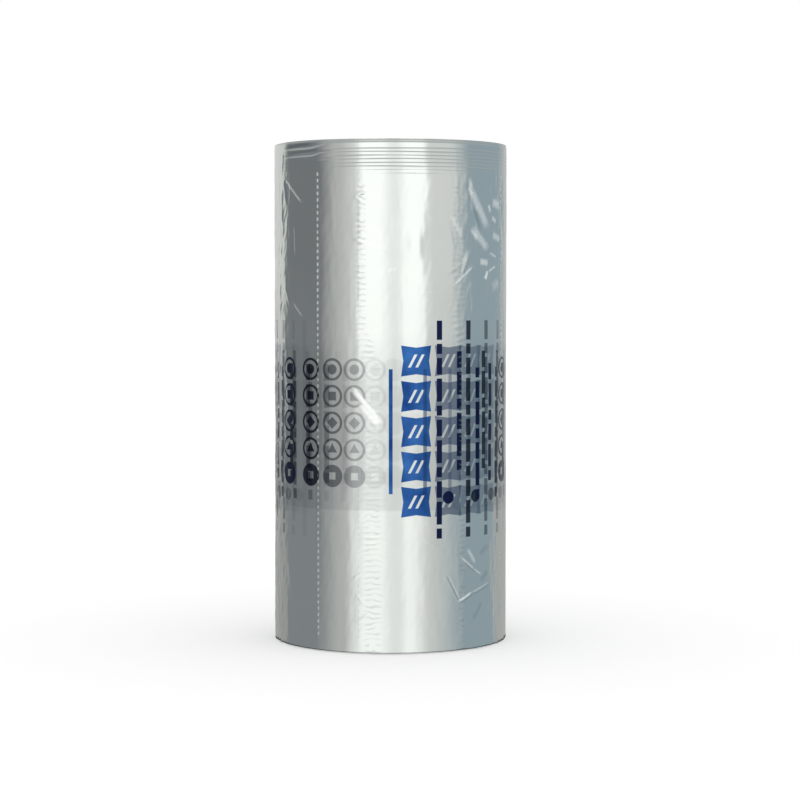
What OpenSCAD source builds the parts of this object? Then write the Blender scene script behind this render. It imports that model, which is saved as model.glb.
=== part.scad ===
// Air pillow film roll: clear two-ply film wound on a paperboard core, standing on its end.
// The origin is the centre of the bottom end, +Z runs up the axis, and angle 0 faces -Y.

/* [Roll] */
// Width of the film, which is the height of the standing roll
film_w = 400; // [380:5:600]
// Outside diameter of the wound roll
roll_d = 188; // [160:1:240]
// Size of the small bevel at both rims of the roll
rim_bevel = 0.6; // [0.2:0.1:1.2]

/* [Core] */
// Bore of the paperboard core, which takes the spindle
bore_d = 76.2; // [70:0.1:80]
// Wall of the paperboard core
core_wall = 5; // [3:0.5:8]
// How far each end of the core lies inside the end of the roll
core_recess = 1; // [0.5:0.5:5]
// Bevel on the edges of the core
core_bevel = 0.5; // [0.2:0.1:1]

/* [Turns at the ends] */
// Number of rings that show on each end face where tighter and looser turns meet
ring_count = 4; // [3:1:10]
// Depth of such a ring
ring_depth = 0.5; // [0.2:0.1:1]
// Width of such a ring
ring_w = 1.4; // [0.8:0.1:2]

/* [Ridges of the filling channel] */
// Depth of the first ridge of the channel below the top end
channel_top = 8; // [6.5:0.5:12]
// Distance from one ridge to the next
ridge_pitch = 2.75; // [2.2:0.05:4]
// Number of ridges in the channel
ridge_count = 8; // [4:1:12]
// Depth of the single ridge at the film's edge below the top end
edge_ridge = 3.2; // [2.4:0.1:3.6]
// How far a ridge stands out of the film
ridge_h = 0.35; // [0.2:0.05:0.6]
// Width of a ridge
ridge_w = 1.5; // [1:0.1:2]

/* [Perforations] */
// Length of film from one row of slits to the next
pillow_l = 174; // [150:1:240]
// Length of film from the front copy's column of pillows back to the first row
first_row = 81.5; // [60:0.5:120]
// Distance from one slit to the next
slit_pitch = 5; // [4:0.5:10]
// Length of a slit
slit_l = 2.65; // [1.5:0.05:3.2]
// Width of a slit
slit_w = 0.4; // [0.3:0.1:0.8]
// Depth of a slit
slit_depth = 0.35; // [0.2:0.05:0.6]
// Distance of the rows' lowest slit from the bottom end
slit_margin = 12; // [8:1:30]

/* [Loose film] */
// Angle of the film's free end, counted from the front
tail_angle = 220; // [215:1:225]
// How far the free end stands off the turn below
tail_h = 0.3; // [0.2:0.05:0.5]
// Angle of the loose wave at the top edge, counted from the front
wave_angle = -46; // [-60:1:-40]
// Depth of the wave's middle below the top end
wave_top = 8; // [7:0.5:12]
// How far the wave stands out of the film
wave_h = 0.8; // [0.4:0.1:1.2]
// Width of a crease
crease_w = 1.6; // [1:0.1:2.5]
// How far a crease stands out of the film
crease_h = 0.25; // [0.15:0.05:0.4]

/* [Print] */
// Angle of the front copy's column of pillows, counted from the front
print_angle = 12.5; // [5:0.5:15]
// Length of film from one copy of the print to the next
print_repeat = 213; // [200:1:230]
// Height of the middle of the print above the bottom end
print_z = 173.5; // [150:0.5:200]
// Side of a printed pillow
pillow_side = 24; // [18:0.5:26]
// Gap between printed pillows
pillow_gap = 3.4; // [2:0.1:6]
// Number of printed pillows in a column
pillow_count = 5; // [3:1:6]
// Width of the straight bar beside the pillows
bar_w = 3; // [2:0.5:5]
// Length of the straight bar
bar_l = 97; // [60:1:120]
// Width of the dashes in the dashed lines
dash_w = 4.6; // [3:0.1:6]
// Length of the shortest dashes
dash_short = 8; // [6:0.5:12]
// How much longer the next longer dashes are
dash_step = 5; // [2:0.5:8]
// Gap between dashes
dash_gap = 3; // [2:0.1:5]
// Outside diameter of a printed ring
badge_d = 17.6; // [12:0.1:19]
// Width of a printed ring's line
badge_line = 2; // [1:0.1:2.5]
// Distance from one printed ring to the next
badge_pitch = 20.8; // [20:0.1:26]
// Thickness of each printed layer
ink_t = 0.1; // [0.06:0.01:0.15]

/* [Hidden] */
$fn = 128;
roll_r = roll_d / 2;
core_r = bore_d / 2 + core_wall;
arc_deg = 180 / (PI * roll_r);
reach = 4;
row_count = floor(2 * PI * roll_r / pillow_l);
channel_low = channel_top + (ridge_count - 1) * ridge_pitch + ridge_w;
slit_count = floor((film_w - slit_margin - channel_low) / slit_pitch);
ring_step = (roll_r - core_r) / (ring_count + 1);
// Radius of the free end's curve, and of the loose wave's along and across the film
tail_r = roll_r * 0.85;
wave_r = roll_r * 0.9;
wave_tube = 20;
// Places of the straight bar, the rings and the spot, counted from the pillows along the film
bar_s = -20;
badge_s = 97;
spot_s = 27;
// Heights of the top ring and the spot, counted from the middle of the print
badge_top = 48;
spot_top = -52;
spot_d = 10;
// Radius of the sign in a ring, as a share of the ring's own, and the sides of what is drawn round
sign_share = 0.45;
round_sides = 12;
// How deep a pillow's sides are drawn in
hollow = pillow_side * 0.07;
// Width, height, lean and distance of the two gaps in a pillow
glint_w = pillow_side * 0.09;
glint_l = pillow_side * 0.42;
glint_lean = pillow_side * 0.11;
glint_step = pillow_side * 0.24;
// Copies of the print that lie whole on the outer turn, which ends at the free end
copy_deg = print_repeat * arc_deg;
first_s = bar_s - bar_w;
last_s = badge_s + badge_d;
function whole(angle) =
    angle + first_s * arc_deg > tail_angle - 360 && angle + last_s * arc_deg < tail_angle;
all_copies = [for (k = [-1 : 1]) print_angle + k * copy_deg];
copies = [for (angle = all_copies) if (whole(angle)) angle];
// How far the copies on deeper turns are turned from those on the outer one
beneath_deg = 16.5;
deeper_deg = 29.5;
// Each dashed line: distance from the pillows along the film, lowest and highest end
LINES = [[19, -84, 86], [37, -31, 62], [56.5, -55, 50], [73, -41, 54]];
// Each crease: angle, height above the bottom end, length and lean from upright
CREASES = [
    [-60, 364, 38, 20], [-52, 268, 26, 30], [44, 350, 40, 10], [52, 324, 40, 34],
    [60, 340, 16, 52], [64, 296, 34, 12], [30, 58, 34, 32], [37, 46, 16, -46],
    [46, 72, 26, -34], [-12, 193, 34, 40], [118, 330, 46, -18], [160, 60, 40, 26],
    [-150, 300, 44, 20], [-104, 80, 36, -28]
];

// Turns what is made at the front of the roll to another angle
module at(angle) {
    rotate([0, 0, angle]) children();
}

// Stands a flat shape on the film, with the shape's x along the film and its y up the roll
module wrap(s, z) {
    at(s * arc_deg)
        translate([0, -(roll_r - reach), z])
            rotate([90, 0, 0])
                linear_extrude(height = 2 * reach) children();
}

// A thin skin around the roll, from one radius to another
module skin(r_in, r_out) {
    difference() {
        cylinder(h = film_w, r = r_out);
        translate([0, 0, -1]) cylinder(h = film_w + 2, r = r_in);
    }
}

// The wound film seen in section, from the bore side round the bottom, the outside and the top
function groove(r, z, up) = [[r - up * ring_w / 2, z], [r, z + up * ring_depth], [r + up * ring_w / 2, z]];
function ridge(z) = [[roll_r, z - ridge_w / 2], [roll_r + ridge_h, z], [roll_r, z + ridge_w / 2]];
function ring_r(i) = core_r + (i + 1) * ring_step;
function film_section() = concat(
    [[core_r, 0]],
    [for (i = [0 : ring_count - 1]) for (p = groove(ring_r(i), 0, 1)) p],
    [[roll_r - rim_bevel, 0], [roll_r, rim_bevel]],
    [for (i = [ridge_count - 1 : -1 : 0]) for (p = ridge(film_w - channel_top - i * ridge_pitch)) p],
    ridge(film_w - edge_ridge),
    [[roll_r, film_w - rim_bevel], [roll_r - rim_bevel, film_w]],
    [for (i = [ring_count - 1 : -1 : 0]) for (p = groove(ring_r(i), film_w, -1)) p],
    [[core_r, film_w]]
);

// The free end of the film, which rises from the turn below and ends in a straight step
module tail() {
    at(tail_angle)
        intersection() {
            translate([0, -(roll_r + tail_h - tail_r), rim_bevel])
                cylinder(h = film_w - channel_low - rim_bevel, r = tail_r);
            translate([-roll_r / 2, -2 * roll_r, 0]) cube([roll_r / 2, 2 * roll_r - tail_r, film_w]);
        }
}

// The loose wave of the outer turn at the top edge
module wave() {
    intersection() {
        at(wave_angle)
            translate([0, -(roll_r + wave_h - wave_r), film_w - wave_top])
                rotate_extrude() translate([wave_r - wave_tube, 0]) circle(r = wave_tube, $fn = 48);
        skin(roll_r - reach, roll_r + reach);
    }
}

// One crease: a low ridge that narrows to a point at both ends
module crease(angle, z, l, lean) {
    wrap(angle / arc_deg, z)
        rotate(lean) polygon([[0, -l / 2], [crease_w / 2, 0], [0, l / 2], [-crease_w / 2, 0]]);
}

module creases() {
    intersection() {
        skin(roll_r - reach / 4, roll_r + crease_h);
        for (c = CREASES) crease(c[0], c[1], c[2], c[3]);
    }
}

// The rows of slits where one pillow tears from the next
module slits() {
    for (row = [0 : row_count - 1]) at(print_angle + (row * pillow_l - first_row) * arc_deg)
        for (i = [0 : slit_count - 1])
            translate([-slit_w / 2, -(roll_r + reach), slit_margin + i * slit_pitch])
                cube([slit_w, reach + slit_depth, slit_l]);
}

// A pillow with hollow sides, and two slanting gaps where light falls on it
module pillow_shape() {
    corner = pillow_side / 2;
    middle = corner - hollow;
    difference() {
        polygon([
            [corner, corner], [0, middle], [-corner, corner], [-middle, 0],
            [-corner, -corner], [0, -middle], [corner, -corner], [middle, 0]
        ]);
        for (side = [-1, 1])
            translate([side * glint_step / 2, 0])
                polygon([
                    [-glint_w / 2 - glint_lean, -glint_l / 2], [glint_w / 2 - glint_lean, -glint_l / 2],
                    [glint_w / 2 + glint_lean, glint_l / 2], [-glint_w / 2 + glint_lean, glint_l / 2]
                ]);
    }
}

function pillow_y(i) = (i - (pillow_count - 1) / 2) * (pillow_side + pillow_gap);
function badge_y(i) = badge_top - i * badge_pitch;

// What a ring holds: a disc, a square, a diamond or a triangle
module badge_sign(i) {
    sign_r = badge_d / 2 * sign_share;
    if (i == 0) circle(r = sign_r, $fn = round_sides);
    if (i == 1) rotate(45) circle(r = sign_r * 1.2, $fn = 4);
    if (i == 2) circle(r = sign_r * 1.2, $fn = 4);
    if (i == 3) rotate(90) circle(r = sign_r * 1.2, $fn = 3);
}

module badge(i) {
    difference() {
        circle(d = badge_d, $fn = round_sides);
        circle(d = badge_d - 2 * badge_line, $fn = round_sides);
    }
    badge_sign(i);
}

// A solid disc with a square hole, under the four rings
module seal_disc() {
    difference() {
        circle(d = badge_d, $fn = round_sides);
        rotate(45) circle(r = badge_d / 2 * sign_share, $fn = 4);
    }
}

// A line of dashes that grow and shrink by turns, from one height to another
function dash_l(i) = dash_short + dash_step * ((i * 2) % 3);
function dash_y(i) = i == 0 ? 0 : dash_y(i - 1) + dash_l(i - 1) + dash_gap;
module dashed_line(low, high) {
    last = max([for (i = [0 : 20]) if (dash_y(i) + dash_l(i) <= high - low) i]);
    for (i = [0 : last])
        translate([-dash_w / 2, low + dash_y(i)]) square([dash_w, dash_l(i)]);
}

module blue_copy(angle) {
    s = angle / arc_deg;
    for (i = [0 : pillow_count - 1]) wrap(s, print_z + pillow_y(i)) pillow_shape();
    wrap(s + bar_s, print_z) square([bar_w, bar_l], center = true);
}

module navy_copy(angle) {
    s = angle / arc_deg;
    for (line = LINES) wrap(s + line[0], print_z) dashed_line(line[1], line[2]);
    for (i = [0 : 3]) wrap(s + badge_s, print_z + badge_y(i)) badge(i);
    wrap(s + badge_s, print_z + badge_y(4)) seal_disc();
    wrap(s + spot_s, print_z + spot_top) circle(d = spot_d, $fn = round_sides);
}

// What shows of a copy on a turn below: plain fields of the pillows, the lines and, higher up, the rings
module faint_copy(angle, rings) {
    s = angle / arc_deg;
    for (i = [0 : pillow_count - 1])
        wrap(s, print_z + pillow_y(i)) square(pillow_side, center = true);
    for (line = LINES)
        wrap(s + line[0], print_z + (line[1] + line[2]) / 2)
            square([dash_w, line[2] - line[1]], center = true);
    if (rings)
        for (i = [0 : 4]) wrap(s + badge_s, print_z + badge_y(i)) circle(d = badge_d, $fn = round_sides);
}

// Puts copies of the print in a thin layer; the layers lie on each other, the deepest turn's first
module ink(layer) {
    difference() {
        intersection() {
            skin(roll_r + layer * ink_t, roll_r + (layer + 1) * ink_t);
            union() children();
        }
        tail();
        creases();
    }
}

// Ink on the outer turn, which the slits cut with the film
module top_ink() {
    difference() {
        ink(2) children();
        slits();
    }
}

module paper_core() {
    color("tan")
        translate([0, 0, core_recess])
            rotate_extrude() polygon([
                [bore_d / 2, core_bevel],
                [bore_d / 2 + core_bevel, 0],
                [core_r, 0],
                [core_r, film_w - 2 * core_recess],
                [bore_d / 2 + core_bevel, film_w - 2 * core_recess],
                [bore_d / 2, film_w - 2 * core_recess - core_bevel]
            ]);
}

module film_roll() {
    color("silver")
        difference() {
            union() {
                rotate_extrude() polygon(film_section());
                tail();
                wave();
                creases();
            }
            slits();
        }
}

module print_blue() {
    color("royalblue") top_ink() for (angle = copies) blue_copy(angle);
}

module print_navy() {
    color("midnightblue") top_ink() for (angle = copies) navy_copy(angle);
}

module print_beneath() {
    color("lightsteelblue") ink(1) for (angle = all_copies) faint_copy(angle + beneath_deg, true);
}

module print_deeper() {
    color("lightslategray") ink(0) for (angle = all_copies) faint_copy(angle + deeper_deg, false);
}

paper_core();
film_roll();
print_blue();
print_navy();
print_beneath();
print_deeper();
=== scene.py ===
"""Air pillow film roll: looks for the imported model.

Sizes are in millimetres and degrees until mesh_piece() turns them into metres.
"""

import math

import bpy
import numpy as np
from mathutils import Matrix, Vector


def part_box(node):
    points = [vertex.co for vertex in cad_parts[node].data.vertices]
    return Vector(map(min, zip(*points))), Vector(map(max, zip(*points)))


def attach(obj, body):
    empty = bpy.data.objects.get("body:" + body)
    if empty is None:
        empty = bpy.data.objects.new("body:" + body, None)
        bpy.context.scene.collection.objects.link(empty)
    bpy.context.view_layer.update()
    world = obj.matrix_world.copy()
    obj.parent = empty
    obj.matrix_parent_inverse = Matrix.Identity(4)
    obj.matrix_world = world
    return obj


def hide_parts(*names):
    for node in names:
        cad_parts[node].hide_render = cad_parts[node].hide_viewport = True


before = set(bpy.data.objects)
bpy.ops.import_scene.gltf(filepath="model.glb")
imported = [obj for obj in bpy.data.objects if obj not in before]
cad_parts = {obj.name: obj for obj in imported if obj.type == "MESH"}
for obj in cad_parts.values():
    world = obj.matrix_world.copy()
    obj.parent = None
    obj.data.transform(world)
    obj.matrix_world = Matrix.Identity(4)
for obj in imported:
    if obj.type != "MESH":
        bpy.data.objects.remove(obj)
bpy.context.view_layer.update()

MM = 0.001
FILM_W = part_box("film_roll")[1][2] / MM
CORE_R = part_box("paper_core")[1][0] / MM
ROLL_R = 94.0
DEG = math.pi * ROLL_R / 180  # length of film in one degree of the outer turn

# The outer turn: where it is cut by rows of slits, and where it ends
PRINT_ANGLE = 12.5
PILLOW_L = 174.0
FIRST_ROW = 81.5
ROWS = [PRINT_ANGLE + (row * PILLOW_L - FIRST_ROW) / DEG for row in range(3)]
TAIL_ANGLE = 220.0
TURN_START = TAIL_ANGLE - 364.0
TURN_T = 0.35
SLIT_PITCH, SLIT_L, SLIT_LOW = 5.0, 2.65, 12.0
SLITS_IN_CHANNEL = 2

# The ridges of the filling channel, counted down from the top end
CHANNEL_TOP, RIDGE_PITCH, RIDGE_COUNT, EDGE_RIDGE = 8.0, 2.75, 8, 3.2
CHANNEL_LOW = FILM_W - CHANNEL_TOP - RIDGE_COUNT * RIDGE_PITCH

# The slits of a row, and how far round the row of the turn below shows faintly
SLIT_COUNT = int((CHANNEL_LOW - 1 - SLIT_LOW) / SLIT_PITCH)
SLITS_END = SLIT_LOW + (SLIT_COUNT + SLITS_IN_CHANNEL) * SLIT_PITCH
ROW_BELOW = 22.0

# The print: distance between copies, and the places of its marks from the pillow column
REPEAT = 213.0
PRINT_Z = 173.5
PILLOW, PILLOW_STEP, HOLLOW = 24.0, 27.4, 1.68
DASHED = [(19, -84, 86), (37, -31, 62), (56.5, -55, 50), (73, -41, 54)]
DASH_W = 4.6
BADGE_S, BADGE_TOP, BADGE_STEP, BADGE_R = 97.0, 48.0, 20.8, 8.8
# Copies on deeper turns: how far each is turned, how strongly it shows and how soft its edges are
GHOSTS = [(16.5, 0.92, 0.4), (29.5, 0.66, 0.5), (41.0, 0.44, 0.7), (51.0, 0.13, 1.0),
          (60.0, 0.09, 1.6), (69.0, 0.06, 2.2)]
CRISP_GHOSTS = 4

# Folds of the loose film: angle, height, length, lean from upright, width and tilt. A fold is a flat
# strip that rises to the right, or to the left where its tilt is below 0, and drops at its far edge.
FOLDS = [
    (-54.4, 361, 32, 50, 1.3, 13), (-63, 361, 20, 14, 3.6, -9), (-53.5, 322, 24, 4, 0.9, 7),
    (-66, 383, 22, -10, 2.4, -8), (-51, 268, 17, 49, 1.1, 10), (-60, 278, 20, 26, 2.4, -12),
    (-12, 195.6, 35, 41, 2.6, 8), (-15.5, 354, 9, 62, 1.6, 10), (-13.5, 357, 12, 84, 1.4, 9),
    (-15, 322, 9, 72, 1.6, 10), (-9, 317, 34, 66, 1.8, 6), (1, 298, 5, -35, 1.2, 16),
    (19, 281, 52, 88, 1.2, 5), (3, 205, 20, 10, 1.6, 4),
    (47.8, 348, 39, 35, 4.6, 11), (48.7, 323.7, 25, 51, 4.4, 11), (43, 358, 30, 4, 3.0, 8),
    (33.8, 333.7, 21, 34, 2.6, 5), (28.6, 362, 13, 25, 1.2, 6), (31, 322, 22, 12, 2.4, 4),
    (37.4, 294, 26, -51, 1.5, 10), (40, 306, 22, -28, 4.6, 8), (33, 300, 20, -60, 3.4, 4),
    (63.4, 351.5, 9, 78, 4.6, 13), (63.4, 325.3, 9, 74, 3.8, 13), (61, 339, 5, 62, 2.8, 13),
    (56.2, 347.6, 5, 30, 2.0, 13), (51.9, 305.2, 7, 84, 3.0, 11), (53.6, 295, 5, -30, 2.4, 13),
    (62.4, 287.5, 9, -62, 4.4, 9), (60, 311, 8, 76, 1.2, 11), (59, 300, 9, -66, 1.2, 11),
    (57, 268, 12, -66, 3.0, 9), (52, 282, 12, 40, 2.6, 8), (70, 250, 36, -6, 3.0, 8),
    (31.2, 50, 26, 29, 1.3, 9), (38.8, 42.2, 15, -65, 1.3, 14), (49.4, 48.2, 23, -74, 1.3, 8),
    (40.3, 68.6, 17, 52, 1.3, 10), (46.8, 61.3, 10, 60, 1.2, 9), (42.7, 74.2, 14, 35, 2.2, 7),
    (52, 74, 16, -58, 3.0, 8), (50, 57, 9, -50, 2.4, 9), (46, 30, 18, -38, 3.2, 6),
    (30, 118, 30, 38, 2.6, 4), (22, 84, 22, 60, 1.8, 4), (-11, 30, 22, -52, 1.8, 8),
    (-14, 42, 12, 40, 1.4, 10), (-16, 60, 10, -55, 1.4, 8),
]
# Pale streaks, painted highlights along the folds together with the haze where the film stands clear of the
# turns below, and darker ones, painted shade beside a crease:
# angle, height, length, lean, width and strength, which is below 0 for the darker ones
STREAKS = [
    (-11.5, 194, 36, 41, 3.6, 0.9), (-9.3, 187.5, 24, 41, 5.6, 0.9), (-9, 318, 22, 66, 2.2, 0.8),
    (47.8, 348, 40, 35, 6.0, 0.5), (48.7, 323.7, 27, 51, 6.0, 0.5), (43, 358, 26, 12, 3.4, 0.4),
    (33.8, 333.7, 20, 34, 3.6, 0.35), (37.4, 294, 26, -51, 1.6, 0.6), (44, 348, 44, 25, 3.0, -0.5),
    (63.4, 351.5, 15, 80, 6.0, 0.5), (63.4, 325.3, 14, 74, 5.0, 0.5), (61, 339, 8, 62, 3.6, 0.5),
    (56.2, 347.6, 7, 30, 2.8, 0.6), (51.9, 305.2, 12, 84, 4.4, 0.6), (53.6, 295, 8, -30, 3.0, 0.9),
    (60, 311, 12, 76, 1.6, 0.5), (59, 300, 12, -66, 1.6, 0.6), (62.4, 287.5, 12, -62, 7.0, 0.25),
    (31.2, 50, 26, 29, 1.5, -0.5), (32.4, 50, 26, 29, 1.2, 0.35), (38.8, 42.2, 16, -65, 1.6, 0.9),
    (39.6, 40.6, 18, -65, 1.2, -0.5), (49.4, 48.2, 24, -74, 1.4, 0.35), (50.2, 46.4, 22, -74, 1.4, -0.4),
    (40.3, 68.6, 18, 52, 1.5, 0.6), (46.8, 61.3, 11, 60, 1.2, 0.5), (42.7, 74.2, 15, 35, 2.8, 0.4),
    (41.4, 66, 16, 52, 2.0, -0.4), (52, 57, 12, -50, 4.0, -0.35), (47, 30, 18, -38, 3.6, -0.3),
    (52, 78, 14, -60, 4.0, -0.3), (-54.4, 361, 30, 50, 1.6, 0.5), (-51, 268, 16, 49, 1.4, 0.35),
    (-53.5, 322, 24, 4, 1.0, 0.3), (-63, 361, 20, 14, 4.0, -0.6),
    (61.3, 53, 124, 0, 0.9, 0.3), (-50, 396.4, 36, -87, 3.0, -0.8), (-47, 391.2, 52, -88, 2.2, -0.5),
]
# Heat seals: angle and width at the top and at the bottom in degrees, height of their ripples and
# how strongly darker lines across them are painted, as painted shade of the ripples
SEALS = [
    (-13.5, -8.3, 2.2, 4.2, 0.15, 1.0), (35.0, 37.0, 3.8, 2.0, 0.08, 0.5),
    (93.3, 93.3, 3, 3, 0.12, 0.6), (200.6, 200.6, 3, 3, 0.12, 0.6), (-121.3, -121.3, 3, 3, 0.12, 0.6),
]
# Height at which a seal steps aside, and the distance of its ripples
SEAL_STEP, RIPPLE_PITCH = 225.0, 4.4


def smooth(t):
    t = np.clip(t, 0, 1)
    return t * t * (3 - 2 * t)


def bell(distance, width):
    return np.exp(-((distance / width) ** 2))


def waves(s, z, seed, wave_s, wave_z, count=14):
    """A soft uneven surface of about unit height, with waves of these lengths along and up the film."""
    rng = np.random.default_rng(seed)
    total = 0
    for _ in range(count):
        turns = rng.normal() * s / wave_s + rng.normal() * z / wave_z
        total = total + np.sin(2 * math.pi * (turns + rng.random()))
    return total / math.sqrt(count / 2)


def fold(s, z, angle, height, length, lean, width, tilt):
    """A flat strip that tilts out of the film and drops sharply at its far edge, narrower at both ends."""
    turn = math.radians(lean)
    ds, dz = s - angle * DEG, z - height
    along = dz * math.cos(turn) - ds * math.sin(turn)
    across = (ds * math.cos(turn) + dz * math.sin(turn)) * (1 if tilt > 0 else -1)
    wide = width * np.sqrt(np.clip(1 - (2 * along / length) ** 2, 1e-6, 1))
    rise = np.clip(1 + across / wide, 0, 1) * (across <= 0)
    drop = np.clip(1 - across / (0.3 * width), 0, 1) * (across > 0)
    return wide * math.tan(math.radians(abs(tilt))) * (rise + drop) * (np.abs(along) < length / 2)


def looseness(angle, z):
    """How slack the film is: most at the sides of the front and behind, least on the highlights."""
    left = bell(angle + 76, 15)
    right = bell(angle - 58, 20) * (0.3 + 0.7 * smooth((z - 230) / 60) + 0.3 * smooth((110 - z) / 40))
    back = 0.7 * bell(angle - 150, 40) + 0.7 * bell(angle + 118, 20)
    return (0.16 + left + right + back) * smooth((FILM_W - 6 - z) / 26)


def lift(angle, z):
    """How far the outer turn stands off the turns below."""
    tail = 0.42 * smooth((angle - (TAIL_ANGLE - 26)) / 20)
    spread = 18.0 * (1 + 0.25 * np.tanh((z - FILM_W + 8) / 3))
    wave = 0.85 * bell(angle + 48, spread) * smooth((z - FILM_W + 19) / 13)
    return tail + wave


def channel(angle, z):
    """The ridges of the filling channel, which wander a little and fade in places."""
    s = angle * DEG
    total = 0
    for i in range(RIDGE_COUNT):
        middle = FILM_W - CHANNEL_TOP - i * RIDGE_PITCH + 0.12 * waves(s, 0 * z, 40 + i, 110, 1, 6)
        height = (0.20 if i < 6 else 0.08) * (1 + 0.18 * waves(s, 0 * z, 60 + i, 70, 1, 6))
        total = total + height * bell(z - middle, 0.62)
    edge = 0.10 * bell(z - (FILM_W - EDGE_RIDGE), 0.6)
    return (total + edge) * (1 - 0.9 * bell(angle + 48, 19))


def outer_r(angle, z):
    """Radius of the outer surface of the film at an angle and a height."""
    s = angle * DEG
    slack = looseness(angle, z)
    r = ROLL_R + lift(angle, z) + channel(angle, z)
    r = r + slack * (0.20 * waves(s, z, 1, 46, 130) + 0.07 * waves(s, z, 2, 18, 60))
    r = r + slack * (0.16 * np.abs(waves(s, z, 3, 22, 44, 9)) + 0.05 * np.abs(waves(s, z, 4, 10, 18, 9)))
    r = r + 0.012 * waves(s, z, 8, 22, 300)
    loose_edge = bell(angle + 46, 16) * smooth((z - FILM_W + 17) / 5)
    lens = (z - FILM_W + 8.2 - 4.2 * smooth((angle + 44) / 20)) * 2 * math.pi / 6.0
    r = r + loose_edge * (0.34 * np.cos(lens) - 0.10 * np.cos(2 * lens))
    r = r + 0.42 * bell(angle - 12.3, 3.2) * bell(z - 318, 13)
    for top_at, low_at, wide_top, wide_low, height, _ in SEALS:
        share = smooth((z - SEAL_STEP) / 30)
        wide, middle = wide_low + (wide_top - wide_low) * share, low_at + (top_at - low_at) * share
        band = bell(angle - middle, wide) * smooth((CHANNEL_LOW - z) / 10)
        band = band * (0.65 + 0.35 * waves(s, z, 6, 30, 50, 6))
        ripple = 2 * math.pi * z / RIPPLE_PITCH + 1.2 * waves(0.2 * s, z, 5, 9, 60, 6) + 0.05 * s
        r = r + height * band * np.sin(ripple)
    for item in FOLDS:
        r = r + fold(s, z, *item)
    rng = np.random.default_rng(17)
    for _ in range(26):
        middle = rng.choice([110, 150, -115, 200]) + rng.normal() * 16
        r = r + fold(s, z, middle, rng.uniform(24, 368), rng.uniform(14, 46), rng.normal() * 28,
                     rng.uniform(1.8, 4.4), rng.choice([-1, 1]) * rng.uniform(5, 11))
    top, rim = FILM_W - z, np.minimum(z, FILM_W - z)
    curl = 0.26 * np.clip(1 - top / 4.2, 0, 1) ** 1.4
    return r - curl - 0.42 * np.clip(1 - rim / 0.95, 0, 1) ** 2


def place(angle, r, z):
    """Points at an angle counted from the front towards the viewer's right."""
    turn = np.radians(angle)
    return np.stack([r * np.sin(turn), -r * np.cos(turn), z + 0 * r], axis=-1).reshape(-1, 3)


def mesh_piece(name, points, faces, uvs, sharp=40):
    """A mesh in metres that rides on the roll, with one UV place for each corner of its faces."""
    mesh = bpy.data.meshes.new(name)
    mesh.from_pydata((np.asarray(points) * MM).tolist(), [], faces)
    layer = mesh.uv_layers.new(name="UVMap")
    layer.data.foreach_set("uv", np.asarray(uvs, dtype=np.float32).ravel())
    mesh.polygons.foreach_set("use_smooth", [True] * len(mesh.polygons))
    mesh.set_sharp_from_angle(angle=math.radians(sharp))
    piece = bpy.data.objects.new(name, mesh)
    bpy.context.collection.objects.link(piece)
    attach(piece, "root")
    return piece


def film_heights():
    """Heights of the rows of points: fine at the rims and ridges, and on the ends of every slit."""
    low = [0, 0.12, 0.3, 0.5, 0.7, 0.95, 1.4, 2, 3.2, 4.6, 6, 7.5, 9, 10.5]
    slit_part = [0, 0.35, 1.3, 2.3, SLIT_L, 3.8]
    starts = [SLIT_LOW + i * SLIT_PITCH for i in range(SLIT_COUNT + SLITS_IN_CHANNEL)]
    slits = [start + part for start in starts for part in slit_part]
    start = SLIT_LOW + SLIT_COUNT * SLIT_PITCH
    top = np.linspace(start, FILM_W - 0.95, int((FILM_W - 0.95 - start) / 0.34))
    top = [z for z in top if min(abs(z - other) for other in slits) > 0.12]
    rim = [FILM_W - 0.7, FILM_W - 0.5, FILM_W - 0.3, FILM_W - 0.12, FILM_W]
    return np.array(sorted(low + slits + top + rim))


def film_angles(start, end, slit_start, slit_end):
    """Angles of the columns of points: even, but close together at an edge with slits."""
    near = np.array([0, 0.25, 0.6, 1.1]) / DEG
    inner = np.linspace(start + 2 / DEG, end - 2 / DEG, int((end - start) * DEG / 1.25))
    first = start + near if slit_start else start + near[[0, 3]]
    last = end - near[::-1] if slit_end else end - near[[3, 0]]
    return np.concatenate([first, inner, last])


def slit_share(z):
    """1 inside a slit and 0 between slits."""
    part = (z - SLIT_LOW) % SLIT_PITCH
    inside = (z > SLIT_LOW - 0.1) & (z < SLITS_END) & (part > 0.1) & (part < SLIT_L - 0.1)
    return np.where(inside, 1.0, 0.0)


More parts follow.
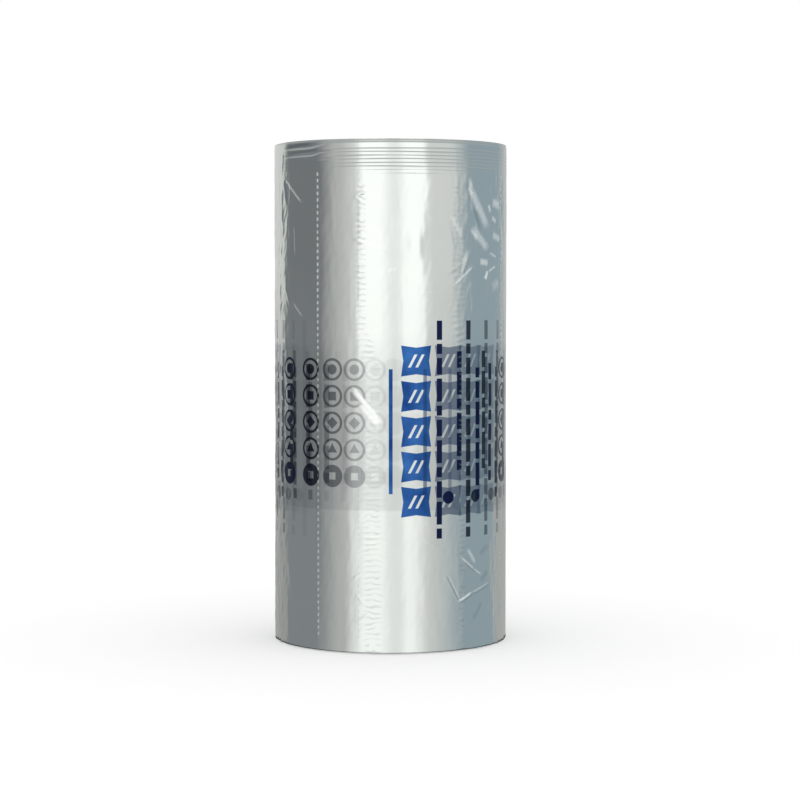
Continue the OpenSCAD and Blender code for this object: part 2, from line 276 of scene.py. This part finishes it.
def turn_piece(name, start, end, slit_start, slit_end):
    """A closed piece of the outer turn: a fine outer face, a coarser inner one and the edges between."""
    z_rows = film_heights()
    angles = film_angles(start, end, slit_start, slit_end)
    angle, z = np.meshgrid(angles, z_rows, indexing="ij")
    r = outer_r(angle, z)
    cut = slit_share(z)
    for edge, has_slits, way in ((start, slit_start, 1), (end, slit_end, -1)):
        if has_slits:
            depth = np.abs(angle - edge) * DEG
            r = r + 0.34 * cut * np.clip(1 - depth / 0.9, 0, 1)
            angle = angle + way * np.where(depth < 0.1, 0.2 * cut / DEG, 0)
    cols = sorted({*range(0, len(angles), 6), len(angles) - 1})
    rows = sorted({*range(0, len(z_rows), 6), len(z_rows) - 1})
    in_angle, in_z = np.meshgrid(angles[cols], z_rows[rows], indexing="ij")
    in_r = ROLL_R - TURN_T + lift(in_angle, in_z)
    points = np.concatenate([place(angle, r, z), place(in_angle, in_r, in_z)])
    n_rows, base, in_rows = len(z_rows), angle.size, len(rows)

    def out_at(i, j):
        return i * n_rows + j

    def in_at(a, b):
        return base + a * in_rows + b

    u = (angles - start) / (end - start) * 0.94 + 0.004
    v = z_rows / FILM_W * 0.94 + 0.004
    faces, uvs = [], []
    for i in range(len(angles) - 1):
        for j in range(n_rows - 1):
            faces.append((out_at(i, j), out_at(i + 1, j), out_at(i + 1, j + 1), out_at(i, j + 1)))
            uvs += [(u[i], v[j]), (u[i + 1], v[j]), (u[i + 1], v[j + 1]), (u[i], v[j + 1])]
    for a in range(len(cols) - 1):
        for b in range(in_rows - 1):
            corners = [(a, b), (a, b + 1), (a + 1, b + 1), (a + 1, b)]
            faces.append([in_at(*c) for c in corners])
            uvs += [(0.955 + 0.04 * u[cols[c]], v[rows[d]]) for c, d in corners]

    def rim(fine, coarse, steps, along, level):
        """Closes one edge: each face has a stretch of fine points and the two coarse points behind it."""
        for k in range(len(steps) - 1):
            stretch = list(range(steps[k], steps[k + 1] + 1))
            faces.append([fine(m) for m in stretch] + [coarse(k + 1), coarse(k)])
            uvs.extend([(along[m], level) for m in stretch])
            uvs.extend([(along[steps[k + 1]], level + 0.008), (along[steps[k]], level + 0.008)])

    rim(lambda m: out_at(m, n_rows - 1), lambda k: in_at(k, in_rows - 1), cols, u, 0.950)
    rim(lambda m: out_at(m, 0), lambda k: in_at(k, 0), cols, u, 0.962)
    rim(lambda m: out_at(0, m), lambda k: in_at(0, k), rows, v, 0.974)
    rim(lambda m: out_at(len(angles) - 1, m), lambda k: in_at(len(cols) - 1, k), rows, v, 0.986)
    piece = mesh_piece(name, points, faces, uvs)
    return piece


def end_depth(r, turn):
    """How far the turns' edges lie below the plane of the end, at a radius and an angle in radians."""
    run = r + 0.5 * np.sin(turn + 1.1) + 0.25 * np.sin(2 * turn)
    rings = 0.16 * waves(run, 0, 21, 9, 1, 10) + 0.07 * waves(run, 0, 22, 2.6, 1, 12)
    depth = 0.5 + rings
    step = (ROLL_R - CORE_R) / 5
    for i in range(4):
        depth = depth + 0.45 * bell(run - CORE_R - (i + 1) * step, 0.7)
    return np.clip(depth, 0.05, 1.4)


def wound_piece():
    """The turns below the outer one as one closed solid, with the edges of its turns on both end faces."""
    count, steps = 240, 104
    turn = np.linspace(0, 2 * math.pi, count, endpoint=False)
    radii = np.linspace(CORE_R, ROLL_R - TURN_T - 0.05, steps)
    t, r = np.meshgrid(turn, radii, indexing="ij")
    bottom = end_depth(r, t)
    top = FILM_W - end_depth(r + 31, t + 2)
    walls = np.linspace(4, FILM_W - 4, 12)
    wall_t, wall_z = np.meshgrid(turn, walls, indexing="ij")
    wall_r = np.full_like(wall_t, radii[-1])
    profile_r = np.concatenate([r, wall_r, r[:, ::-1]], axis=1)
    profile_z = np.concatenate([bottom, wall_z, top[:, ::-1]], axis=1)
    points = place(np.degrees(np.repeat(turn[:, None], profile_r.shape[1], 1)), profile_r, profile_z)
    m = profile_r.shape[1]
    flat = points[:, :2] / (4.1 * ROLL_R)
    faces, uvs = [], []
    for i in range(count):
        j = (i + 1) % count
        for k in range(m):
            k2 = (k + 1) % m
            face = (i * m + k, j * m + k, j * m + k2, i * m + k2)
            faces.append(face)
            if k2 < steps and k < steps:
                uvs += [(0.25 + flat[c][0], 0.25 + flat[c][1]) for c in face]
            elif k >= steps + len(walls):
                uvs += [(0.75 + flat[c][0], 0.25 + flat[c][1]) for c in face] if k2 else [
                    (c_u, c_v) for c_u, c_v in ((i / count, 0.8), ((i + 1) / count, 0.8),
                                                ((i + 1) / count, 0.97), (i / count, 0.97))]
            else:
                low, high = 0.52 + 0.02 * (k - steps + 1), 0.54 + 0.02 * (k - steps + 1)
                left, right = i / count, (i + 1) / count
                uvs += [(left, low), (right, low), (right, high), (left, high)]
    return mesh_piece("film_wound", points, faces, uvs, sharp=50)


# Materials


class Value:
    """A number in a shader that takes plain arithmetic. Each step makes one Math node."""

    def __init__(self, tree, source):
        self.tree, self.source = tree, source

    def math(self, operation, *others):
        node = self.tree.nodes.new("ShaderNodeMath")
        node.operation = operation
        for socket, item in zip(node.inputs, (self, *others), strict=False):
            plug(self.tree, item, socket)
        return Value(self.tree, node.outputs[0])

    def __add__(self, other):
        return self.math("ADD", other)

    def __sub__(self, other):
        return self.math("SUBTRACT", other)

    def __mul__(self, other):
        return self.math("MULTIPLY", other)

    def __truediv__(self, other):
        return self.math("DIVIDE", other)

    def __abs__(self):
        return self.math("ABSOLUTE")

    def least(self, other):
        return self.math("MINIMUM", other)

    def most(self, other):
        return self.math("MAXIMUM", other)

    def flipped(self):
        return self * -1

    def nearest(self):
        return self.math("ROUND")

    def within(self, low, high):
        return self.most(low).least(high)

    def wrapped(self, period):
        return self.math("FLOORED_MODULO", period)

    def is_near(self, number):
        return self.math("COMPARE", number, 0.5)


def plug(tree, item, socket):
    """Gives a socket a number, a colour, another socket or a Value."""
    if isinstance(item, Value):
        item = item.source
    if isinstance(item, bpy.types.NodeSocket):
        tree.links.new(item, socket)
    else:
        socket.default_value = item


def node(tree, kind, inputs=(), **settings):
    """A shader node with its settings and its inputs, given by name or number."""
    made = tree.nodes.new("ShaderNode" + kind)
    for key, value in settings.items():
        setattr(made, key, value)
    for key, value in dict(inputs).items():
        plug(tree, value, made.inputs[key])
    return made


def srgb(*levels):
    """A linear colour from levels of 0 to 255 as a screen shows them."""
    shares = [level / 255 for level in levels]
    return tuple(c / 12.92 if c < 0.04045 else ((c + 0.055) / 1.055) ** 2.4 for c in shares)


def painted(distance, soft):
    """1 inside a mark and 0 outside it, from the distance to its edge."""
    return (distance.flipped() / soft + 0.5).within(0, 1)


def longest(a, b):
    return a.most(b)


def painted_strip(angle, z, middle, height, length, lean, width):
    """1 along a thin strip of the film that is soft at its sides and its ends."""
    turn = math.radians(lean)
    ds, dz = (angle - middle) * DEG, z - height
    along = dz * math.cos(turn) - ds * math.sin(turn)
    across = ds * math.cos(turn) + dz * math.sin(turn)
    taper = (along * along) * (-4 / length ** 2) + 1
    return (taper * 1.6).within(0, 1) * (abs(across) * (-2 / width) + 1.5).within(0, 1)


def print_group(plain):
    """Masks of one copy of the print, from the place along and up the film, counted from the pillows.

    A plain one has only whole fields, for the turns far below.
    """
    tree = bpy.data.node_groups.new("print_fields" if plain else "print_marks", "ShaderNodeTree")
    for name in ("Along", "Up", "Soft"):
        tree.interface.new_socket(name, in_out="INPUT", socket_type="NodeSocketFloat")
    for name in ("Blue", "Navy"):
        tree.interface.new_socket(name, in_out="OUTPUT", socket_type="NodeSocketFloat")
    entry = tree.nodes.new("NodeGroupInput")
    x, y, soft = (Value(tree, entry.outputs[i]) for i in range(3))

    half = PILLOW / 2
    row = (y / PILLOW_STEP).nearest().within(-2, 2)
    py = y - row * PILLOW_STEP
    wide = abs(x) - abs(py) * (HOLLOW / half)
    tall = abs(py) - abs(x) * (HOLLOW / half)
    pillow = longest(wide, tall) - (half - HOLLOW)
    if not plain:
        glint = abs(abs(x - py * 0.52) - 2.9) - 1.1
        pillow = longest(pillow, longest(glint, abs(py) - 5.0).flipped())
    bar = longest(abs(x + 20) - 1.5, abs(y) - 48.5)
    blue = painted(pillow.least(bar), soft)

    navy = None
    for along, low, high in DASHED:
        end = high - low
        v = y - low
        dash = longest(v - end, v.flipped())
        if not plain:
            part = v.wrapped(48)
            dashes = (abs(part - 4) - 4).least(abs(part - 20) - 9).least(abs(part - 38.5) - 6.5)
            dash = longest(dash, dashes)
        line = longest(abs(x - along) - DASH_W / 2, dash)
        navy = line if navy is None else navy.least(line)
    bx = x - BADGE_S
    place_no = ((y - BADGE_TOP) / -BADGE_STEP).nearest().within(0, 4)
    by = y - BADGE_TOP + place_no * BADGE_STEP
    r = (bx * bx + by * by).math("SQRT")
    if plain:
        navy = navy.least(r - BADGE_R)
    else:
        sign = [r - 4.0, longest(abs(bx), abs(by)) - 3.4, abs(bx) + abs(by) - 4.8,
                longest(abs(bx) * 0.866 + by * 0.5 - 2.4, by.flipped() - 2.4)]
        ring = abs(r - (BADGE_R - 1)) - 1
        for i, shape in enumerate(sign):
            ring = ring.least(shape + (place_no.is_near(i) * -100 + 100))
        solid = longest(r - BADGE_R, (longest(abs(bx), abs(by)) - 2.8).flipped())
        last = place_no.is_near(4)
        navy = navy.least(ring * (last * -1 + 1) + solid * last)
        spot = ((x - 27) * (x - 27) + (y + 52) * (y + 52)).math("SQRT") - 5
        navy = navy.least(spot)
    leave = tree.nodes.new("NodeGroupOutput")
    plug(tree, blue, leave.inputs[0])
    plug(tree, painted(navy, soft), leave.inputs[1])
    return tree


def new_material(name):
    material = bpy.data.materials.new(name)
    material.use_nodes = True
    tree = material.node_tree
    return material, tree, tree.nodes["Principled BSDF"]


def mix_colour(tree, share, a, b, kind="MIX"):
    made = tree.nodes.new("ShaderNodeMix")
    made.data_type, made.blend_type = "RGBA", kind
    for socket, item in ((made.inputs[0], share), (made.inputs[6], a), (made.inputs[7], b)):
        if isinstance(item, tuple) and len(item) == 3:
            item = (*item, 1)
        plug(tree, item, socket)
    return made.outputs[2]


def noise(tree, vector, scale, detail, **inputs):
    """A soft random pattern."""
    made = node(tree, "TexNoise", {"Vector": vector, "Scale": scale, "Detail": detail, **inputs})
    return Value(tree, made.outputs["Fac"])


def film_material():
    """Clear film wound on itself: it mirrors softly and shows the print of its turns."""
    material, tree, shader = new_material("clear_film")
    spot = node(tree, "TexCoord").outputs["Object"]
    axes = node(tree, "SeparateXYZ", {0: spot})
    x, y, z = (Value(tree, axes.outputs[i]) for i in range(3))
    angle = x.math("ARCTAN2", y.flipped()) * (180 / math.pi)
    behind = angle.math("LESS_THAN", TAIL_ANGLE - 362)
    angle = angle + behind * 360
    up = z / MM - PRINT_Z

    def copy_of(group, turned, soft):
        off = angle - (PRINT_ANGLE + turned)
        number = (off * (DEG / REPEAT)).nearest().within(-1, 1)
        along = off * DEG - number * REPEAT
        made = tree.nodes.new("ShaderNodeGroup")
        made.node_tree = group
        plug(tree, along, made.inputs[0])
        plug(tree, up, made.inputs[1])
        plug(tree, soft, made.inputs[2])
        return Value(tree, made.outputs[0]), Value(tree, made.outputs[1])

    marks, fields = print_group(False), print_group(True)
    cloud = noise(tree, spot, 45.0, 4.0)
    # Pale streaks are painted highlights along the folds, with the haze of film standing clear that also
    # hides the print below; darker streaks are painted shade
    haze_and_highlight = painted_shade = None
    for *item, strength in STREAKS:
        strip = painted_strip(angle, z / MM, *item) * abs(strength)
        if strength > 0:
            haze_and_highlight = strip if haze_and_highlight is None else longest(haze_and_highlight, strip)
        else:
            painted_shade = strip if painted_shade is None else longest(painted_shade, strip)
    hidden = haze_and_highlight * -1 + 1
    seal_share = (z / MM / 30 - SEAL_STEP / 30).within(0, 1)
    ripple_noise = noise(tree, spot, 110.0, 1.0)
    ripple = (z * (2 * math.pi / RIPPLE_PITCH / MM) + ripple_noise * 9).math("SINE")
    ripples = None
    for top_at, low_at, wide_top, wide_low, _, shown in SEALS:
        off = abs(angle - seal_share * (top_at - low_at) - low_at)
        wide = seal_share * (wide_top - wide_low) + wide_low
        band = (off / wide * -1.6 + 1.9).within(0, 1) * shown
        ripples = band if ripples is None else longest(ripples, band)
    ripples = ripples * (z / MM).math("LESS_THAN", CHANNEL_LOW - 4) * (ripple_noise * 3 - 0.7).within(0, 1)

    colour = mix_colour(tree, cloud, srgb(226, 229, 229), srgb(233, 234, 232))
    deep_print = ((up + 62.3) / 1.5).within(0, 1) * ((up * -1 + 76) / 40).within(0, 1)
    colour = mix_colour(tree, deep_print * hidden * 0.16, colour, srgb(84, 98, 114))
    clear = None
    for i, (turned, strength, soft) in enumerate(GHOSTS[::-1]):
        group = marks if i >= len(GHOSTS) - CRISP_GHOSTS else fields
        blue, navy = copy_of(group, turned, soft)
        colour = mix_colour(tree, blue * hidden * (strength * 0.8), colour, srgb(66, 88, 124))
        colour = mix_colour(tree, navy * hidden * strength, colour, srgb(22, 30, 56))
        shown = longest(blue * 0.7, navy) * strength
        clear = shown if clear is None else longest(clear, shown)
    blue, navy = copy_of(marks, 0, 0.35)
    ink = longest(blue, navy)
    # The blue ink is painted lighter in random patches: a painted reflection of the film over the ink
    ink_reflection_mottle = (cloud * 2.4 - 0.75).within(0, 1)
    blue_ink = mix_colour(tree, ink_reflection_mottle, srgb(12, 62, 130), srgb(56, 112, 184))
    blue_ink = mix_colour(tree, clear * 0.75, blue_ink, srgb(12, 42, 94))
    colour = mix_colour(tree, blue, colour, blue_ink)
    colour = mix_colour(tree, navy, colour, srgb(10, 28, 72))
    height_in_slit = (z / MM - SLIT_LOW).wrapped(SLIT_PITCH)
    in_slit = painted(abs(height_in_slit - SLIT_L / 2) - SLIT_L / 2, 0.4)
    in_slit = in_slit * (z / MM).math("LESS_THAN", SLITS_END - 1)
    in_slit = in_slit * (z / MM).math("GREATER_THAN", SLIT_LOW - 1)
    lips = below = None
    for row in ROWS:
        lip = painted(abs(angle - row) * DEG - 0.38, 0.6)
        deep = painted(abs(angle - row - ROW_BELOW) * DEG - 0.5, 0.6)
        lips = lip if lips is None else longest(lips, lip)
        below = deep if below is None else longest(below, deep)
    upper = ((z - 0.2) / 0.06).within(0, 1) * 0.55 + 0.45
    lips, below = lips * in_slit * upper, below * in_slit
    colour = mix_colour(tree, below * 0.14, colour, srgb(120, 126, 130))
    colour = mix_colour(tree, lips * 0.6, colour, srgb(226, 230, 230))
    # Lines across the seals painted darker: painted shade of the ripples
    ripple_shade = ripples * (ripple * 1.4 - 0.2).within(0, 1)
    colour = mix_colour(tree, ripple_shade * 0.5, colour, srgb(186, 189, 187))
    # painted highlights along the folds, with the haze where the film stands clear
    colour = mix_colour(tree, haze_and_highlight, colour, srgb(248, 250, 250))
    # painted shade beside creases and in the wave at the top edge
    colour = mix_colour(tree, painted_shade, colour, srgb(176, 184, 188))
    plug(tree, colour, shader.inputs["Base Color"])
    metal = (ink * -0.04 + 1) * (lips * -0.5 + 1) * (haze_and_highlight * -0.62 + 1)
    plug(tree, metal, shader.inputs["Metallic"])
    rough = cloud * 0.05 + 0.12 + ink * 0.08 + lips * 0.2 + haze_and_highlight * 0.15
    plug(tree, rough, shader.inputs["Roughness"])
    shader.inputs["Coat Weight"].default_value = 0.2
    shader.inputs["Coat Roughness"].default_value = 0.04
    shader.inputs["Coat IOR"].default_value = 1.5

    stretched = node(tree, "Mapping", {"Vector": spot, "Scale": (1, 1, 0.06)})
    height = noise(tree, stretched.outputs[0], 150.0, 1.0) + noise(tree, spot, 60.0, 0.0) * 1.5
    bump = node(tree, "Bump", {"Strength": 0.16, "Distance": 0.0004, "Height": height})
    plug(tree, bump.outputs[0], shader.inputs["Normal"])
    return material


def end_material():
    """Edges of the wound film: fine rings, hazy white where the cut edges catch light."""
    material, tree, shader = new_material("film_edges")
    spot = node(tree, "TexCoord").outputs["Object"]
    axes = node(tree, "SeparateXYZ", {0: spot})
    x, y = (Value(tree, axes.outputs[i]) for i in range(2))
    r = (x * x + y * y).math("SQRT") / MM
    fine = node(tree, "TexNoise", {"W": r.source, "Scale": 2.2, "Detail": 6.0}, noise_dimensions="1D")
    broad = node(tree, "TexNoise", {"W": r.source, "Scale": 0.3, "Detail": 2.0}, noise_dimensions="1D")
    fine, broad = (Value(tree, made.outputs["Fac"]) for made in (fine, broad))
    share = (fine * 0.6 + broad * 0.7 - 0.25).within(0, 1)
    colour = mix_colour(tree, share, srgb(150, 160, 164), srgb(214, 219, 219))
    plug(tree, colour, shader.inputs["Base Color"])
    plug(tree, fine * 0.2 + 0.3, shader.inputs["Roughness"])
    shader.inputs["Coat Weight"].default_value = 0.4
    shader.inputs["Coat Roughness"].default_value = 0.2
    bump = node(tree, "Bump", {"Strength": 0.5, "Distance": 0.0003, "Height": fine})
    plug(tree, bump.outputs[0], shader.inputs["Normal"])
    return material


def board_material():
    """Spiral-wound brown paperboard: plies on its ends, a seam that winds up the bore, and short fibres."""
    material, tree, shader = new_material("paperboard")
    spot = node(tree, "TexCoord").outputs["Object"]
    axes = node(tree, "SeparateXYZ", {0: spot})
    x, y, z = (Value(tree, axes.outputs[i]) for i in range(3))
    r = (x * x + y * y).math("SQRT") / MM
    turn = x.math("ARCTAN2", y.flipped()) / (2 * math.pi)
    seam = (z / 0.11 + turn).wrapped(1)
    seam_line = painted(abs(seam - 0.5) - 0.004, 0.004)
    ply = (r / 0.62).wrapped(1)
    ply_line = painted(abs(ply - 0.5) - 0.12, 0.12)
    fibre = noise(tree, spot, 900.0, 6.0, Roughness=0.7)
    patch = noise(tree, spot, 60.0, 3.0)
    colour = mix_colour(tree, fibre, srgb(150, 118, 82), srgb(206, 174, 132))
    colour = mix_colour(tree, patch * 0.35, colour, srgb(168, 132, 92))
    is_wall = r.math("LESS_THAN", 38.4)
    colour = mix_colour(tree, seam_line * is_wall * 0.6, colour, srgb(96, 70, 46))
    colour = mix_colour(tree, ply_line * (is_wall * -1 + 1) * 0.4, colour, srgb(118, 88, 58))
    plug(tree, colour, shader.inputs["Base Color"])
    shader.inputs["Roughness"].default_value = 0.85
    shader.inputs["Specular IOR Level"].default_value = 0.25
    height = fibre - seam_line * is_wall * 0.8 - ply_line * 0.3
    bump = node(tree, "Bump", {"Strength": 0.6, "Distance": 0.0003, "Height": height})
    plug(tree, bump.outputs[0], shader.inputs["Normal"])
    return material


# Studio


# Cards that stand round the roll, as a photographer sets them: two white strips in front, pale card
# between and beside them, a dark flag on the left and a dim, cool side on the right. Each has its
# start and end in degrees from the front towards the right, its grey and its tint. The gap to the
# next card shades from one to the other. The low cards lie on the floor and are less contrasty.
NEUTRAL, FAINT, COOL = (0.99, 1.0, 0.985), (0.96, 1.0, 1.02), (0.885, 1.0, 1.05)
CARDS = [
    (-180, -122, 0.76, NEUTRAL), (-118, -68, 0.4, FAINT), (-50, -46, 0.67, NEUTRAL),
    (-31, -30, 0.8, NEUTRAL), (-27, -8, 1.0, NEUTRAL), (2, 7, 0.9, NEUTRAL), (14, 31, 1.0, NEUTRAL),
    (34, 57, 0.79, NEUTRAL), (77, 125, 0.58, COOL), (150, 180, 0.68, NEUTRAL),
]
LOW_CARDS = [
    (-180, -165, 0.62, NEUTRAL), (-130, -122, 0.55, NEUTRAL), (-114, -70, 0.46, FAINT),
    (-48, -42, 0.65, NEUTRAL), (-32, -31, 0.85, NEUTRAL), (-24, -8, 0.95, NEUTRAL),
    (2, 8, 0.86, NEUTRAL), (15, 20, 0.94, NEUTRAL), (36, 38, 0.75, NEUTRAL), (72, 112, 0.57, COOL),
    (120, 180, 0.61, NEUTRAL),
]
CARD_LIGHT, CARD_HAZE = 1.22, (0.034, 0.034, 0.034)
CARD_R, CARD_H = 0.62, 0.9


def card_ramp(tree, share, row):
    """The colours of a row of cards at a share of the way round."""
    ramp = tree.nodes.new("ShaderNodeValToRGB")
    plug(tree, share, ramp.inputs[0])
    ends = [(azimuth, grey, tint) for start, end, grey, tint in row for azimuth in (start, end)]
    stops = ramp.color_ramp.elements
    while len(stops) < len(ends):
        stops.new(0.5)
    for stop, (azimuth, grey, tint) in zip(stops, ends, strict=True):
        stop.position = azimuth / 360 + 0.5
        stop.color = (*srgb(*(min(255, 255 * grey * share_of) for share_of in tint)), 1)
    return ramp.outputs[0]


def cards():
    """A tent of cards that only the object's gloss sees: a ring on the floor, walls and a dim roof."""
    count, levels = 96, 24
    rings = [(0.0944, 0.0003), (0.102, 0.0004), (CARD_R, 0.0006)]
    for j in range(levels + 1):
        rise = j / levels * math.pi / 2
        rings.append((max(CARD_R * math.cos(rise) ** 0.4, 0.001), 0.0006 + CARD_H * math.sin(rise)))
    turns = [2 * math.pi * i / count for i in range(count)]
    points = [(r * math.sin(turn), -r * math.cos(turn), z) for r, z in rings for turn in turns]
    faces = []
    for j in range(len(rings) - 1):
        for i in range(count):
            k = (i + 1) % count
            faces.append((j * count + i, j * count + k, (j + 1) * count + k, (j + 1) * count + i))
    mesh = bpy.data.meshes.new("cards")
    mesh.from_pydata(points, [], faces)
    tent = bpy.data.objects.new("cards", mesh)
    bpy.context.collection.objects.link(tent)
    for ray in ("camera", "diffuse", "shadow", "transmission", "volume_scatter"):
        setattr(tent, "visible_" + ray, False)
    material = bpy.data.materials.new("card_paint")
    material.use_nodes = True
    tree = material.node_tree
    tree.nodes.clear()
    axes = node(tree, "SeparateXYZ", {0: node(tree, "TexCoord").outputs["Object"]})
    x, y, z = (Value(tree, axes.outputs[i]) for i in range(3))
    near = (x * x + y * y).math("SQRT")
    azimuth = x.math("ARCTAN2", y.flipped())
    way = azimuth
    for _ in range(5):
        way = azimuth + ((way / 2).math("SINE") * (ROLL_R * MM) / near).within(-1, 1).math("ARCSINE")
    azimuth = way - ((way / 2).math("SINE") * (ROLL_R * MM / CARD_R)).math("ARCSINE")
    share = azimuth / (2 * math.pi) + 0.5
    low = ((z * -1 + 0.32) / 0.27).within(0, 1)
    colour = mix_colour(tree, low, card_ramp(tree, share, CARDS), card_ramp(tree, share, LOW_CARDS))
    high = ((z - 0.472) / 0.045).within(0, 1)
    colour = mix_colour(tree, 1.0, colour, CARD_HAZE, "ADD")
    colour = mix_colour(tree, high * 0.85, colour, srgb(158, 162, 162))
    shade = ((near * -1 + 0.0994) / 0.0026).within(0, 1) * z.math("LESS_THAN", 0.01)
    crown = ((z - 0.8) / 0.08).within(0, 1)
    dimmed = longest(shade * 0.8, crown * 0.55)
    emission = node(tree, "Emission", {"Color": colour, "Strength": dimmed * -CARD_LIGHT + CARD_LIGHT})
    out = tree.nodes.new("ShaderNodeOutputMaterial")
    tree.links.new(emission.outputs[0], out.inputs[0])
    material.cycles.emission_sampling = "NONE"
    mesh.materials.append(material)


def studio():
    """A pale floor that keeps a soft shadow, a white world and the cards."""
    bpy.ops.mesh.primitive_circle_add(vertices=128, radius=30, fill_type="NGON", location=(0, 0, -0.0002))
    floor = bpy.context.object
    floor.name = "floor"
    material, tree, shader = new_material("pale_floor")
    shader.inputs["Base Color"].default_value = (0.86, 0.86, 0.86, 1)
    shader.inputs["Roughness"].default_value = 0.9
    shader.inputs["Specular IOR Level"].default_value = 0.0
    shader.inputs["Emission Color"].default_value = (1, 1, 1, 1)
    shader.inputs["Emission Strength"].default_value = 0.18
    floor.data.materials.append(material)

    world = bpy.data.worlds.new("studio")
    bpy.context.scene.world = world
    world.use_nodes = True
    background = world.node_tree.nodes["Background"]
    background.inputs["Color"].default_value = (1, 1, 1, 1)
    background.inputs["Strength"].default_value = 1.0
    world.cycles.sampling_method = "NONE"
    cards()


def camera():
    """The photo's view through a long lens, from two thirds of the roll's height, a little to its right."""
    data = bpy.data.cameras.new("camera")
    data.lens = 100.4
    data.sensor_width = 36.0
    eye = bpy.data.objects.new("camera", data)
    bpy.context.collection.objects.link(eye)
    eye.location = (0.0077, -1.819, 0.278)
    eye.rotation_euler = (math.radians(90 - 2.65), 0, 0)
    bpy.context.scene.camera = eye


def dress():
    board = board_material()
    core = bpy.data.objects["paper_core"]
    for item in core.material_slots:
        item.material = board
    film = film_material()
    edges = end_material()
    wound = wound_piece()
    wound.data.materials.append(edges)
    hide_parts("film_roll")
    cuts = [TURN_START, *ROWS, TAIL_ANGLE]
    for i, letter in enumerate("abcd"):
        piece = turn_piece("film_turn_" + letter, cuts[i], cuts[i + 1], i > 0, i < 3)
        piece.data.materials.append(film)
        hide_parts("film_roll", "print_blue", "print_navy", "print_beneath", "print_deeper")


bpy.context.scene.view_settings.view_transform = "Standard"
camera()
dress()
studio()
bpy.context.view_layer.update()
